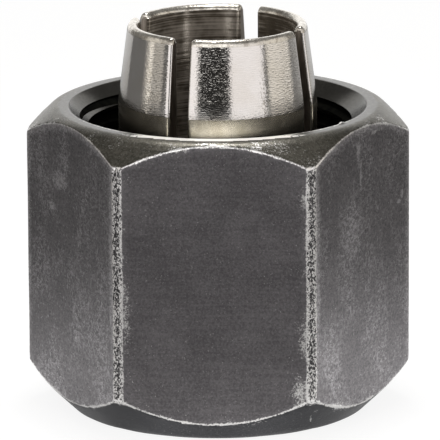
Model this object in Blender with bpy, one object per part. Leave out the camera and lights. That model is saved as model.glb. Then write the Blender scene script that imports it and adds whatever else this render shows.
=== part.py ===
"""Collet of a woodworking router, held in its clamping nut.

The nut stands on its front face, through which a cutter's shank goes in, and the slotted
fingers of the collet point up out of its threaded rear mouth. Lengths are in metres, +Z runs
from front to rear along the common axis, and the origin is where that axis meets the nut's
front face.
"""

import math

import bmesh
import bpy
from mathutils import Matrix, Vector

MM = 0.001

# Collet, from its bore outwards
SHANK_DIAMETER = 12.7 * MM  # the half-inch shank that the collet grips
END_WALL = 0.81 * MM  # wall of a finger at the rear end
TAPER_RISE = 2.5 * MM  # radius gained from the rear end to the shoulder
COLLAR_STEP = 0.14 * MM  # collar over the widest part of the taper
NECK_DEPTH = 1.4 * MM  # neck under the collar, where the ring sits
NOSE_WALL = 1.7 * MM

# Collet, along its axis
NOSE_RECESS = 1.0 * MM  # front end of the collet, in from the nut's front face
COLLAR_LENGTH = 3.13 * MM
TAPER_LENGTH = 19.4 * MM

# Collet, slots and edges
SLOT_WIDTH = 1.5 * MM
SLOT_DEPTH_IN_COLLAR = 1.0 * MM
SLOT_TURN = math.radians(-22.0)  # first slot, seen from the middle of the nut's front side
BORE_CHAMFER = 0.35 * MM
END_CHAMFER = 0.34 * MM
NOSE_CHAMFER = 0.4 * MM
NOSE_LEAD_IN = 0.6 * MM

# Split wire ring that holds the collet in the nut
WIRE_DIAMETER = 1.6 * MM
RING_SPRING_ROOM = 0.6 * MM  # room under the ring, so that it can close on its way in
RING_SPLIT = math.radians(14.0)

# Nut, radial sizes over the collet and its ring
THREAD_STEP = 0.3 * MM  # thread crests over the land that the collar passes
THREAD_DEPTH = 0.7 * MM
RELIEF_DEPTH = 0.15 * MM  # thread relief, over the bottom of the thread
ENTRY_STEP = 0.8 * MM  # mouth of the entry cone, over the bottom of the thread
NUT_WALL = 2.25 * MM  # from the thread relief to a flat: 27 mm across flats
CORNER_CUT = 0.25 * MM  # turned off each corner of the hexagon
REAR_LAND_INSET = 0.28 * MM  # edge of the rear face, in from the flats
FRONT_LAND_INSET = 1.64 * MM  # edge of the front face, in from the flats

# Nut, along its axis
NUT_HEIGHT = 24.5 * MM
FRONT_HOLE_LENGTH = 3.4 * MM
FRONT_HOLE_CHAMFER = 0.4 * MM
LAND_LENGTH = 1.0 * MM
RELIEF_LENGTH = 1.5 * MM
ENTRY_HALF_ANGLE = math.radians(45.0)
END_CHAMFER_ANGLE = math.radians(44.0)  # chamfers of the hexagon, from the end faces
REAR_EDGE_RADIUS = 1.4 * MM  # worn round between the rear face and its chamfer
FRONT_EDGE_RADIUS = 0.5 * MM

# Fits
RUNNING_GAP = 0.3 * MM
FLOAT_TRAVEL = 0.4 * MM  # how far the collet floats along the axis
SEAT_HALF_ANGLE = math.radians(45.0)  # cone on which the nut presses the collet

# Smoothness
TURNS_OF_BODY = 96
TURNS_OF_RING = 48
SIDES_OF_WIRE = 12
STEPS_OF_EDGE = 4
SHARP_ANGLE = math.radians(28.0)
HEX_SIDES = 6
SLOT_PLATES = 2
CUT_MARGIN = 2.0 * MM


def clear_scene():
    """Remove whatever the file holds."""
    for obj in list(bpy.data.objects):
        bpy.data.objects.remove(obj, do_unlink=True)


def steel(name, colour, roughness):
    """Metal of one colour."""
    material = bpy.data.materials.new(name)
    material.use_nodes = True
    shader = material.node_tree.nodes["Principled BSDF"]
    shader.inputs["Base Color"].default_value = (*colour, 1.0)
    shader.inputs["Metallic"].default_value = 1.0
    shader.inputs["Roughness"].default_value = roughness
    return material


def radii():
    """Radii of all the turned surfaces, from the bore outwards."""
    r = {}
    r["bore"] = SHANK_DIAMETER / 2
    r["taper_end"] = r["bore"] + END_WALL
    r["taper_low"] = r["taper_end"] + TAPER_RISE
    r["collar"] = r["taper_low"] + COLLAR_STEP
    r["neck"] = r["collar"] - NECK_DEPTH
    r["nose"] = r["bore"] + NOSE_WALL
    r["ring_inside"] = r["neck"] + RING_SPRING_ROOM
    r["ring_outside"] = r["ring_inside"] + WIRE_DIAMETER
    r["front_hole"] = r["nose"] + RUNNING_GAP
    r["pocket"] = r["collar"] + RUNNING_GAP
    r["groove"] = r["ring_outside"] + RUNNING_GAP
    r["thread_crest"] = r["pocket"] + THREAD_STEP
    r["thread_root"] = r["thread_crest"] + THREAD_DEPTH
    r["relief"] = r["thread_root"] + RELIEF_DEPTH
    r["entry"] = r["thread_root"] + ENTRY_STEP
    r["flat"] = max(r["relief"], r["groove"]) + NUT_WALL
    r["corner"] = r["flat"] / math.cos(math.pi / HEX_SIDES) - CORNER_CUT
    r["rear_land"] = r["flat"] - REAR_LAND_INSET
    r["front_land"] = r["flat"] - FRONT_LAND_INSET
    return r


def heights(r):
    """Heights of all the shoulders, from the nut's front face up."""
    cone = 1 / math.tan(SEAT_HALF_ANGLE)
    seat_lift = RUNNING_GAP / math.sin(SEAT_HALF_ANGLE)
    z = {}
    z["seat_low"] = FRONT_HOLE_LENGTH
    z["seat_high"] = z["seat_low"] + (r["pocket"] - r["front_hole"]) * cone
    z["nose_top"] = z["seat_low"] + (r["nose"] - r["front_hole"]) * cone + seat_lift
    z["collar_low"] = z["seat_low"] + (r["collar"] - r["front_hole"]) * cone + seat_lift
    z["collar_high"] = z["collar_low"] + COLLAR_LENGTH
    z["ring"] = z["collar_high"] + RUNNING_GAP + WIRE_DIAMETER / 2
    z["groove_low"] = z["ring"] - WIRE_DIAMETER / 2 - RUNNING_GAP
    z["groove_high"] = z["ring"] + WIRE_DIAMETER / 2 + FLOAT_TRAVEL + RUNNING_GAP
    z["neck_high"] = z["ring"] + WIRE_DIAMETER / 2 + RUNNING_GAP
    z["taper_low"] = z["neck_high"] + r["taper_low"] - r["neck"]
    z["collet_end"] = z["taper_low"] + TAPER_LENGTH
    z["slot_low"] = z["collar_high"] - SLOT_DEPTH_IN_COLLAR
    z["land_high"] = z["groove_high"] + LAND_LENGTH
    z["relief_high"] = z["land_high"] + RELIEF_LENGTH
    z["entry_low"] = NUT_HEIGHT - (r["entry"] - r["thread_crest"]) / math.tan(ENTRY_HALF_ANGLE)
    return z


def turned(outline, steps):
    """Turn a closed outline of (radius, height) points once round the Z axis."""
    bm = bmesh.new()
    verts = [bm.verts.new((radius, 0.0, height)) for radius, height in outline]
    edges = [bm.edges.new((a, b)) for a, b in zip(verts, verts[1:] + verts[:1])]
    bmesh.ops.spin(
        bm,
        geom=verts + edges,
        cent=(0.0, 0.0, 0.0),
        axis=(0.0, 0.0, 1.0),
        angle=2 * math.pi,
        steps=steps,
        use_merge=True,
    )
    bmesh.ops.recalc_face_normals(bm, faces=bm.faces)
    return bm


def rounded(before, corner, after, radius):
    """Points of the arc that rounds one corner of an outline."""
    corner = Vector(corner)
    towards_before = (Vector(before) - corner).normalized()
    towards_after = (Vector(after) - corner).normalized()
    half = towards_before.angle(towards_after) / 2
    centre = corner + (towards_before + towards_after).normalized() * radius / math.sin(half)
    first = corner + towards_before * radius / math.tan(half) - centre
    last = corner + towards_after * radius / math.tan(half) - centre
    turns = [first.slerp(last, step / STEPS_OF_EDGE) for step in range(STEPS_OF_EDGE + 1)]
    return [tuple(centre + turn.normalized() * radius) for turn in turns]


def finish(bm, name, material):
    """Make the object, smooth on its round faces and sharp on its edges."""
    mesh = bpy.data.meshes.new(name)
    bm.to_mesh(mesh)
    bm.free()
    mesh.materials.append(material)
    mesh.shade_smooth()
    mesh.set_sharp_from_angle(angle=SHARP_ANGLE)
    obj = bpy.data.objects.new(name, mesh)
    bpy.context.collection.objects.link(obj)
    return obj


def nut_outline(r, z):
    """Section of the nut before its flats are milled: outside first, then the bore."""
    slope = math.tan(END_CHAMFER_ANGLE)
    front_rise = (r["corner"] - r["front_land"]) * slope
    rear_fall = (r["corner"] - r["rear_land"]) * slope
    hole_mouth = (r["front_hole"] + FRONT_HOLE_CHAMFER, 0.0)
    low_corner = (r["corner"], front_rise)
    high_corner = (r["corner"], NUT_HEIGHT - rear_fall)
    entry_mouth = (r["entry"], NUT_HEIGHT)
    front_edge = rounded(hole_mouth, (r["front_land"], 0.0), low_corner, FRONT_EDGE_RADIUS)
    rear_edge = rounded(high_corner, (r["rear_land"], NUT_HEIGHT), entry_mouth, REAR_EDGE_RADIUS)
    outside = front_edge + [low_corner, high_corner] + rear_edge
    thread_and_relief = [
        entry_mouth,
        (r["thread_crest"], z["entry_low"]),
        (r["thread_crest"], z["relief_high"]),
        (r["relief"], z["relief_high"]),
        (r["relief"], z["land_high"]),
    ]
    ring_groove = [
        (r["pocket"], z["land_high"]),
        (r["pocket"], z["groove_high"]),
        (r["groove"], z["groove_high"]),
        (r["groove"], z["groove_low"]),
        (r["pocket"], z["groove_low"]),
    ]
    seat_and_hole = [
        (r["pocket"], z["seat_high"]),
        (r["front_hole"], z["seat_low"]),
        (r["front_hole"], FRONT_HOLE_CHAMFER),
        hole_mouth,
    ]
    return outside + thread_and_relief + ring_groove + seat_and_hole


def mill_flats(bm, flat_radius):
    """Cut the six flats, one of them facing -Y, and close each cut."""
    for side in range(HEX_SIDES):
        angle = -math.pi / 2 + side * 2 * math.pi / HEX_SIDES
        normal = Vector((math.cos(angle), math.sin(angle), 0.0))
        cut = bmesh.ops.bisect_plane(
            bm,
            geom=bm.verts[:] + bm.edges[:] + bm.faces[:],
            dist=1e-7,
            plane_co=normal * flat_radius,
            plane_no=normal,
            clear_outer=True,
        )
        rim = [item for item in cut["geom_cut"] if isinstance(item, bmesh.types.BMEdge)]
        bmesh.ops.edgeloop_fill(bm, edges=rim)
    bmesh.ops.recalc_face_normals(bm, faces=bm.faces)


def collet_nut(r, z):
    """Hexagonal nut: turned, then its flats are milled."""
    bm = turned(nut_outline(r, z), TURNS_OF_BODY)
    mill_flats(bm, r["flat"])
    return finish(bm, "collet_nut", steel("blackened_steel", (0.065, 0.062, 0.066), 0.45))


def collet_outline(r, z):
    """Section of the collet before it is slotted: outside first, then the bore."""
    bore_chamfer = min(BORE_CHAMFER, END_WALL * 0.45)
    end_chamfer = min(END_CHAMFER, END_WALL * 0.45)
    taper_slope = TAPER_RISE / TAPER_LENGTH
    nose = [
        (r["bore"] + NOSE_LEAD_IN, NOSE_RECESS),
        (r["nose"] - NOSE_CHAMFER, NOSE_RECESS),
        (r["nose"], NOSE_RECESS + NOSE_CHAMFER),
        (r["nose"], z["nose_top"]),
    ]
    collar_and_neck = [
        (r["collar"], z["collar_low"]),
        (r["collar"], z["collar_high"]),
        (r["neck"], z["collar_high"]),
        (r["neck"], z["neck_high"]),
    ]
    taper = [
        (r["taper_low"], z["taper_low"]),
        (r["taper_end"] + taper_slope * end_chamfer, z["collet_end"] - end_chamfer),
        (r["taper_end"] - end_chamfer, z["collet_end"]),
    ]
    bore = [
        (r["bore"] + bore_chamfer, z["collet_end"]),
        (r["bore"], z["collet_end"] - bore_chamfer),
        (r["bore"], NOSE_RECESS + NOSE_LEAD_IN),
    ]
    return nose + collar_and_neck + taper + bore


def slot_plate(index, r, z):
    """Flat cutter through the axis: it opens two slots that face each other."""
    top = z["collet_end"] + CUT_MARGIN
    reach = r["collar"] + CUT_MARGIN
    bm = bmesh.new()
    bmesh.ops.create_cube(bm, size=1.0)
    bmesh.ops.scale(bm, vec=(2 * reach, SLOT_WIDTH, top - z["slot_low"]), verts=bm.verts)
    bmesh.ops.translate(bm, vec=(0.0, 0.0, (top + z["slot_low"]) / 2), verts=bm.verts)
    angle = -math.pi / 2 + SLOT_TURN + index * math.pi / SLOT_PLATES
    bmesh.ops.rotate(
        bm, cent=(0.0, 0.0, 0.0), matrix=Matrix.Rotation(angle, 3, "Z"), verts=bm.verts
    )
    mesh = bpy.data.meshes.new(f"slot_plate_{index}")
    bm.to_mesh(mesh)
    bm.free()
    plate = bpy.data.objects.new(f"slot_plate_{index}", mesh)
    bpy.context.collection.objects.link(plate)
    plate.hide_render = True
    plate.display_type = "WIRE"
    return plate


def spring_collet(r, z):
    """Slotted collet: turned, then slotted from its rear end into the collar."""
    bm = turned(collet_outline(r, z), TURNS_OF_BODY)
    collet = finish(bm, "spring_collet", steel("plated_steel", (0.62, 0.59, 0.55), 0.28))
    for index in range(SLOT_PLATES):
        cut = collet.modifiers.new(f"slots_{index}", "BOOLEAN")
        cut.operation = "DIFFERENCE"
        cut.solver = "EXACT"
        cut.object = slot_plate(index, r, z)
    return collet


def retaining_ring(r, z):
    """Split ring of round wire, open on the side away from the first slot."""
    wire_radius = WIRE_DIAMETER / 2
    middle = Vector((r["ring_inside"] + wire_radius, 0.0, z["ring"]))
    upright = Matrix.Rotation(math.pi / 2, 4, "X")
    bm = bmesh.new()
    bmesh.ops.create_circle(
        bm,
        segments=SIDES_OF_WIRE,
        radius=wire_radius,
        matrix=Matrix.Translation(middle) @ upright,
    )
    bmesh.ops.rotate(
        bm,
        cent=(0.0, 0.0, 0.0),
        matrix=Matrix.Rotation(math.pi / 2 + RING_SPLIT / 2, 3, "Z"),
        verts=bm.verts,
    )
    bmesh.ops.spin(
        bm,
        geom=bm.verts[:] + bm.edges[:],
        cent=(0.0, 0.0, 0.0),
        axis=(0.0, 0.0, 1.0),
        angle=2 * math.pi - RING_SPLIT,
        steps=TURNS_OF_RING,
    )
    bmesh.ops.holes_fill(bm, edges=bm.edges, sides=SIDES_OF_WIRE)
    bmesh.ops.recalc_face_normals(bm, faces=bm.faces)
    return finish(bm, "retaining_ring", steel("spring_wire", (0.35, 0.34, 0.33), 0.35))


def main():
    clear_scene()
    r = radii()
    z = heights(r)
    collet_nut(r, z)
    spring_collet(r, z)
    retaining_ring(r, z)


main()
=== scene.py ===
# %% [markdown]
# A router's collet in its clamping nut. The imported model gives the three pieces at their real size,
# and this script gives them their looks: the cut thread, the rounded and worn edges, the blackened
# and the plated steel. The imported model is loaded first, because every size below leans on it.

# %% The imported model
import math

import bmesh
import bpy
from mathutils import Matrix, Vector, noise


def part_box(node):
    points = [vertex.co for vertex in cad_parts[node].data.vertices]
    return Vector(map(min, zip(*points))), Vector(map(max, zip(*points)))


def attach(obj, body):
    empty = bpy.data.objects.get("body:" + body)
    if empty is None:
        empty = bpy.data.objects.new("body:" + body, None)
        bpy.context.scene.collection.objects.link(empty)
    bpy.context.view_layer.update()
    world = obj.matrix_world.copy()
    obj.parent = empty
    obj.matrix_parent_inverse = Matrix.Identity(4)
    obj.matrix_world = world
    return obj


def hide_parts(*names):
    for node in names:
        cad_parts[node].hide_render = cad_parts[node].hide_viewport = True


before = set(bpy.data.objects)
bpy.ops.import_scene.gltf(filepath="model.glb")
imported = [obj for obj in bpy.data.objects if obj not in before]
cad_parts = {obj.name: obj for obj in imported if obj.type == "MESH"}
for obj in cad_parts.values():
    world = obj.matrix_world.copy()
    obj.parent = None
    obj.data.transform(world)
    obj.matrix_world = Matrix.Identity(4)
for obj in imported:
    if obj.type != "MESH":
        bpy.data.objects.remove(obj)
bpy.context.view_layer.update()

MM = 0.001
nut_low, nut_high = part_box("collet_nut")
collet_low, collet_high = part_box("spring_collet")
ring_low, ring_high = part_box("retaining_ring")
print("nut, collet and ring end at", nut_high.z / MM, collet_high.z / MM, ring_high.z / MM, "mm")

# %% [markdown]
# The camera comes first. A product photo like this one is taken with a long lens from a step back,
# a little above the object, so that upright edges stay nearly parallel. The lens, the distance and
# the angles were found by matching the hexagon's edges, so they are plain numbers here.

# %% Camera
AIM = Vector((0.13, 0.0, 14.93)) * MM
CAMERA_AZIMUTH = math.radians(1.473)
CAMERA_ELEVATION = math.radians(14.07)
CAMERA_ROLL = math.radians(-0.32)
CAMERA_DISTANCE = 564 * MM
LENS = 573.2


def direction(azimuth, elevation):
    """Unit vector towards an azimuth, 0 on the camera's side, and an elevation."""
    level = math.cos(elevation)
    return Vector((math.sin(azimuth) * level, -math.cos(azimuth) * level, math.sin(elevation)))


def add(name, data):
    """Object that holds the data, linked to the scene."""
    obj = bpy.data.objects.new(name, data)
    bpy.context.collection.objects.link(obj)
    return obj


def add_mesh(name, bm):
    """Object whose mesh is what was built, which is then let go."""
    mesh = bpy.data.meshes.new(name)
    bm.to_mesh(mesh)
    bm.free()
    return add(name, mesh)


camera = add("camera", bpy.data.cameras.new("camera"))
camera.data.lens = LENS
camera.data.clip_start = 10 * MM
camera.data.clip_end = 20.0
backwards = direction(CAMERA_AZIMUTH, CAMERA_ELEVATION)
aimed = (-backwards).to_track_quat("-Z", "Y").to_matrix() @ Matrix.Rotation(CAMERA_ROLL, 3, "Z")
camera.matrix_world = Matrix.Translation(AIM + backwards * CAMERA_DISTANCE) @ aimed.to_4x4()
bpy.context.scene.camera = camera
print("camera stands at", [round(x / MM, 1) for x in camera.matrix_world.translation], "mm")

# %% [markdown]
# A material is a small tree of nodes. Each helper below adds one kind of node and hands back its
# output, so that a finish can be written down in the order in which a maker would describe it.

# %% Helpers for materials
def put(tree, kind, inputs, output=0, **settings):
    """Add a node, fill its sockets with numbers or links, and give one output."""
    node = tree.nodes.new("ShaderNode" + kind)
    for key, value in settings.items():
        setattr(node, key, value)
    for key, value in inputs.items():
        if isinstance(value, bpy.types.NodeSocket):
            tree.links.new(value, node.inputs[key])
        else:
            node.inputs[key].default_value = value
    return node.outputs[output] if node.outputs else node


def maths(tree, operation, *values):
    """One sum on numbers."""
    return put(tree, "Math", dict(enumerate(values)), operation=operation)


def millimetres(tree, stretch=(1.0, 1.0, 1.0)):
    """Place on the object in millimetres, stretched along its axes."""
    place = put(tree, "TexCoord", {}, output="Object")
    scale = tuple(axis / MM for axis in stretch)
    return put(tree, "VectorMath", {0: place, 1: scale}, operation="MULTIPLY")


def grain(tree, place, per_mm, detail=3.0, rough=0.55, distort=0.0):
    """Cloudy noise around 0.5, with a number of grains to the millimetre."""
    sockets = {"Vector": place, "Scale": per_mm, "Detail": detail, "Roughness": rough}
    return put(tree, "TexNoise", sockets | {"Distortion": distort})


def rise(tree, value, low, high, start=0.0, end=1.0):
    """Soft step from start to end as the value goes from low to high."""
    sockets = {"Value": value, "From Min": low, "From Max": high, "To Min": start, "To Max": end}
    return put(tree, "MapRange", sockets, interpolation_type="SMOOTHSTEP")


def blend_colour(tree, share, first, second):
    """Colour that goes from the first to the second."""
    ends = {6: first if isinstance(first, bpy.types.NodeSocket) else (*first, 1.0)}
    ends[7] = second if isinstance(second, bpy.types.NodeSocket) else (*second, 1.0)
    return put(tree, "Mix", {0: share} | ends, output=2, data_type="RGBA")


def blend_number(tree, share, first, second):
    """Number that goes from the first to the second."""
    return put(tree, "Mix", {0: share, 2: first, 3: second}, data_type="FLOAT")


def bumps(tree, strength, depth, height):
    """Bumps on the surface, of a depth in millimetres."""
    return put(tree, "Bump", {"Strength": strength, "Distance": depth * MM, "Height": height})


def empty_material(name):
    """Material without nodes."""
    material = bpy.data.materials.new(name)
    material.use_nodes = True
    material.node_tree.nodes.clear()
    return material


def metal(name, paint):
    """Metal whose colour, roughness and bumps come from paint(tree)."""
    material = empty_material(name)
    tree = material.node_tree
    looks = paint(tree)
    shader = put(tree, "BsdfPrincipled", {"Metallic": 1.0} | looks)
    put(tree, "OutputMaterial", {"Surface": shader})
    return material


# %% [markdown]
# The nut is a turned bar of hexagon steel. On the lathe both ends get a chamfer, which is why each
# flat ends in an arc, and the rear end gets a coned mouth and a thread. A spin makes the lathe's
# part. The mill's part is done by giving each column of the spin the section that belongs to the
# hexagon at its own angle, so that the arcs are exact and each edge can have its small worn
# rounding. Cutting the flats with planes would leave slivers that no bevel could follow.

# %% Sizes of the nut, in millimetres
FLAT = nut_high.y / MM
TOP = nut_high.z / MM
CORNER = nut_high.x / MM
REAR_LAND = FLAT - 0.28
LAND_FRAY = 0.45
FRONT_LAND = FLAT - 1.64
CHAMFER_ANGLE = math.radians(44.0)
CHAMFER_SLOPE = math.tan(CHAMFER_ANGLE)
REAR_RADIUS = 1.4
FRONT_RADIUS = 0.5
MOUTH = 11.9
CREST = 10.4
ENTRY_LOW = TOP - (MOUTH - CREST)
LIP = 0.1
EDGE_SOFT = 0.07
STRIP_EDGE = math.sqrt(CORNER ** 2 - FLAT ** 2)
print("flat, corner and half a flat's width are", FLAT, CORNER, STRIP_EDGE, "mm")


def rear_height(radius):
    """Height of the turned rear end: level land, worn round edge, then the chamfer."""
    reach = REAR_RADIUS * math.tan(CHAMFER_ANGLE / 2)
    start = REAR_LAND - reach
    if radius <= start:
        return TOP
    if radius >= REAR_LAND + reach * math.cos(CHAMFER_ANGLE):
        return TOP - (radius - REAR_LAND) * CHAMFER_SLOPE
    return TOP - REAR_RADIUS + math.sqrt(REAR_RADIUS ** 2 - (radius - start) ** 2)


def front_height(radius):
    """Height of the turned front end."""
    reach = FRONT_RADIUS * math.tan(CHAMFER_ANGLE / 2)
    start = FRONT_LAND - reach
    if radius <= start:
        return 0.0
    if radius >= FRONT_LAND + reach * math.cos(CHAMFER_ANGLE):
        return (radius - FRONT_LAND) * CHAMFER_SLOPE
    return FRONT_RADIUS - math.sqrt(FRONT_RADIUS ** 2 - (radius - start) ** 2)


# %% Section of the nut at any distance of its wall from the axis
RIM_ROWS = 14
WALL_STEPS = (0.0, 0.15, 0.4, 0.8, 1.4, 2.4, 4.0, 6.5)
FRONT_ROWS = 10
EDGE_ROWS = 5
FRONT_ROWS_END = 11.4
MID_WALL, INSIDE = 8.0, 3.0  # distances given to points that no edge is near
BORE = [
    (CREST, ENTRY_LOW), (CREST, 13.504), (11.25, 13.504), (11.25, 12.004), (10.1, 12.004),
    (10.1, 11.004), (10.9, 11.004), (10.9, 8.404), (10.1, 8.404), (10.1, 5.15), (8.35, 3.4),
    (8.35, 0.4), (8.75, 0.0),
]


def curve(before, corner, after, steps):
    """Points of a soft corner, from before to after."""
    points = []
    for step in range(steps + 1):
        t = step / steps
        weights = ((1 - t) ** 2, 2 * t * (1 - t), t ** 2)
        triple = zip(before, corner, after)
        points.append(tuple(sum(w * x for w, x in zip(weights, xs)) for xs in triple))
    return points


def nut_section(reach, soft):
    """Closed section, as (radius, height, distance from the worn edge) in millimetres.

    The wall stands at reach from the axis, and its edges are rounded over a length of soft.
    """
    rows = [(MOUTH - 0.3 * LIP, TOP - LIP, 1.0), (MOUTH + 0.2 * LIP, TOP - 0.2 * LIP, 1.0)]
    start = MOUTH + LIP
    for row in range(RIM_ROWS):
        radius = start + (reach - soft - start) * row / RIM_ROWS
        rows.append((radius, rear_height(radius), reach - radius))
    top, low = rear_height(reach), front_height(reach)
    inside = reach - soft
    corner = curve((inside, rear_height(inside)), (reach, top), (reach, top - soft), EDGE_ROWS)
    rows += [(r, z, abs(2 * i / EDGE_ROWS - 1) * soft) for i, (r, z) in enumerate(corner)]
    middle = (top + low) / 2
    rows += [(reach, top - soft - step, soft + step) for step in WALL_STEPS[1:]]
    rows += [(reach, middle, MID_WALL)]
    rows += [(reach, low + soft + step, soft + step) for step in reversed(WALL_STEPS[1:])]
    corner = curve((reach, low + soft), (reach, low), (inside, front_height(inside)), EDGE_ROWS)
    rows += [(r, z, abs(2 * i / EDGE_ROWS - 1) * soft) for i, (r, z) in enumerate(corner)]
    for row in range(1, FRONT_ROWS + 1):
        radius = inside + (FRONT_ROWS_END - inside) * row / FRONT_ROWS
        rows.append((radius, front_height(radius), reach - radius))
    rows += [(r, z, INSIDE) for r, z in reversed(BORE)]
    return rows


# %% [markdown]
# A corner of the hexagon is not sharp: the bar was turned a little under its full width, which
# leaves a strip less than a millimetre wide down each corner. The columns of the spin stand close
# together there and wider apart across the flats.

# %% Columns of the nut
STRIP_HALF = 2.8
STRIP_COLUMNS = 12
FLAT_COLUMNS = 72


def sector_angles():
    """Angles of the columns from one corner strip to just before the next, in degrees."""
    near = [STRIP_HALF * i / STRIP_COLUMNS for i in range(STRIP_COLUMNS)]
    across = 60.0 - 2 * STRIP_HALF
    middle = [STRIP_HALF + across * i / FLAT_COLUMNS for i in range(FLAT_COLUMNS)]
    far = [60.0 - STRIP_HALF + STRIP_HALF * i / STRIP_COLUMNS for i in range(STRIP_COLUMNS)]
    return near + middle + far


COLUMNS = [60.0 * side + angle for side in range(6) for angle in sector_angles()]


def wall_reach(angle):
    """Distance of the wall from the axis at an angle: flat or strip, with a soft edge between."""
    off_flat = (angle % 60.0) - 30.0
    flat = FLAT / math.cos(math.radians(off_flat))
    share = min(1.0, max(0.0, 0.5 + 0.5 * (CORNER - flat) / EDGE_SOFT))
    return CORNER + (flat - CORNER) * share - EDGE_SOFT * share * (1 - share)


def wall_soft(angle):
    """How far the wall's upper and lower edges are rounded: more at the corners."""
    from_corner = 30.0 - abs((angle % 60.0) - 30.0)
    return 0.16 + 0.2 * max(0.0, 1.0 - from_corner / 4.0) ** 2


print("the nut has", len(COLUMNS), "columns and", len(nut_section(CORNER, 0.3)), "rows")

# %% [markdown]
# Steel edges that knock against wrenches and bench tops aren't even. Small hollows along them are
# made by pulling the points nearest to an edge inwards, by an amount that wanders along the edge.

# %% The nut's body
def turned(section, steps):
    """Turn a closed section of (radius, height) points in millimetres once round the axis."""
    bm = bmesh.new()
    tag = bm.verts.layers.int.new("row")
    verts = [bm.verts.new((point[0] * MM, 0.0, point[1] * MM)) for point in section]
    for row, vert in enumerate(verts):
        vert[tag] = row
    edges = [bm.edges.new(pair) for pair in zip(verts, verts[1:] + verts[:1])]
    bmesh.ops.spin(
        bm, geom=verts + edges, cent=(0, 0, 0), axis=(0, 0, 1), angle=2 * math.pi, steps=steps,
        use_merge=True,
    )
    bmesh.ops.recalc_face_normals(bm, faces=bm.faces)
    return bm, tag


def column_of(vert, count):
    """Number of the spin's step that a point belongs to."""
    return round(math.atan2(vert.co.y, vert.co.x) / (2 * math.pi) * count) % count


BURR = Vector((9.9, -6.6))
BURR_REACH = 0.4
BURR_HEIGHT = 0.16
KNOCK_DEPTH = 0.09
KNOCK_REACH = 0.35
TOUCHED = {270: 0.1, 330: 0.75, 30: 0.45, 90: 0.6, 150: 0.35, 210: 0.9}
LINE_WEAR = {270: 1.0, 330: 0.8, 30: 0.6, 90: 0.8, 150: 0.7, 210: 0.65}
ARC_WEAR = 0.85
LOW_EDGE = 6.0
LOW_WEAR = 0.95
CORNER_WEAR = 0.65
CORNER_REACH = 7.0
STRIP_WEAR = 0.55

FLATS, CHAMFER, STRIP, MOUTH_CONE, THREAD, FOOT, LAND = range(7)
RIM_END = 2 + RIM_ROWS
WALL_START = RIM_END + EDGE_ROWS // 2
WALL_END = RIM_END + EDGE_ROWS + 1 + 2 * len(WALL_STEPS) - 1 + EDGE_ROWS // 2
LAST_FRONT = WALL_END + EDGE_ROWS - EDGE_ROWS // 2 + FRONT_ROWS + 1

nut_bm, row_tag = turned(nut_section(CORNER, 0.3), len(COLUMNS))
column_tag = nut_bm.verts.layers.int.new("column")
edge_tag = nut_bm.verts.layers.float.new("from_edge")
touched_tag = nut_bm.verts.layers.float.new("touched")
line_tag = nut_bm.verts.layers.float.new("line_wear")
sections = [nut_section(wall_reach(angle), wall_soft(angle)) for angle in COLUMNS]
for vert in nut_bm.verts:
    column = column_of(vert, len(COLUMNS))
    angle = math.radians(COLUMNS[column])
    radius, height, from_edge = sections[column][vert[row_tag]]
    off_flat = math.radians((COLUMNS[column] % 60.0) - 30.0)
    from_strip = abs(abs(radius * math.sin(off_flat)) - STRIP_EDGE)
    beside_strip = WALL_START <= vert[row_tag] <= WALL_END and from_strip < from_edge
    if beside_strip:
        from_edge = from_strip
    place = Vector((radius * math.cos(angle), radius * math.sin(angle), height))
    if from_edge < KNOCK_REACH and vert[row_tag] > 2:
        knock = max(0.0, noise.noise(place * 1.7) + 0.6 * noise.noise(place * 4.1) - 0.05)
        inwards = Vector((place.x, place.y, 0.0)).normalized()
        inwards.z = 0.7 if vert[row_tag] < RIM_END + EDGE_ROWS + 1 else 0.0
        place -= inwards * KNOCK_DEPTH * knock * (1.0 - from_edge / KNOCK_REACH)
    burr = 1.0 - (place.xy - BURR).length / BURR_REACH
    if burr > 0.0 and height > TOP - 0.2:
        place.z += BURR_HEIGHT * burr
    vert.co = place * MM
    vert[column_tag] = column
    vert[edge_tag] = from_edge
    side = 30 + 60 * int(COLUMNS[column] // 60)
    vert[touched_tag] = TOUCHED[side]
    vert[line_tag] = LINE_WEAR[side] * (STRIP_WEAR if beside_strip else ARC_WEAR)
    if height < LOW_EDGE and not beside_strip:
        from_corner = 30.0 - abs(math.degrees(off_flat))
        vert[line_tag] = LOW_WEAR
        more = CORNER_WEAR * max(0.0, 1.0 - from_corner / CORNER_REACH)
        vert[edge_tag] = from_edge * (1.0 - more)

for face in nut_bm.faces:
    rows = sorted(vert[row_tag] for vert in face.verts)
    middle = face.calc_center_median() / MM
    across = abs(math.degrees(math.atan2(middle.y, middle.x)) % 60.0 - 30.0)
    if rows[0] > LAST_FRONT:
        face.material_index = THREAD
    elif rows[-1] - rows[0] > 1 or rows[0] < 1:
        face.material_index = MOUTH_CONE
    elif rows[0] < WALL_START:
        on_land = middle.xy.length < REAR_LAND - LAND_FRAY
        face.material_index = LAND if on_land else CHAMFER
    elif rows[0] >= WALL_END:
        face.material_index = FOOT
    else:
        from_middle = middle.xy.length * math.sin(math.radians(across))
        face.material_index = STRIP if from_middle > STRIP_EDGE else FLATS
print("the nut's body has", len(nut_bm.faces), "faces")
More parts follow.
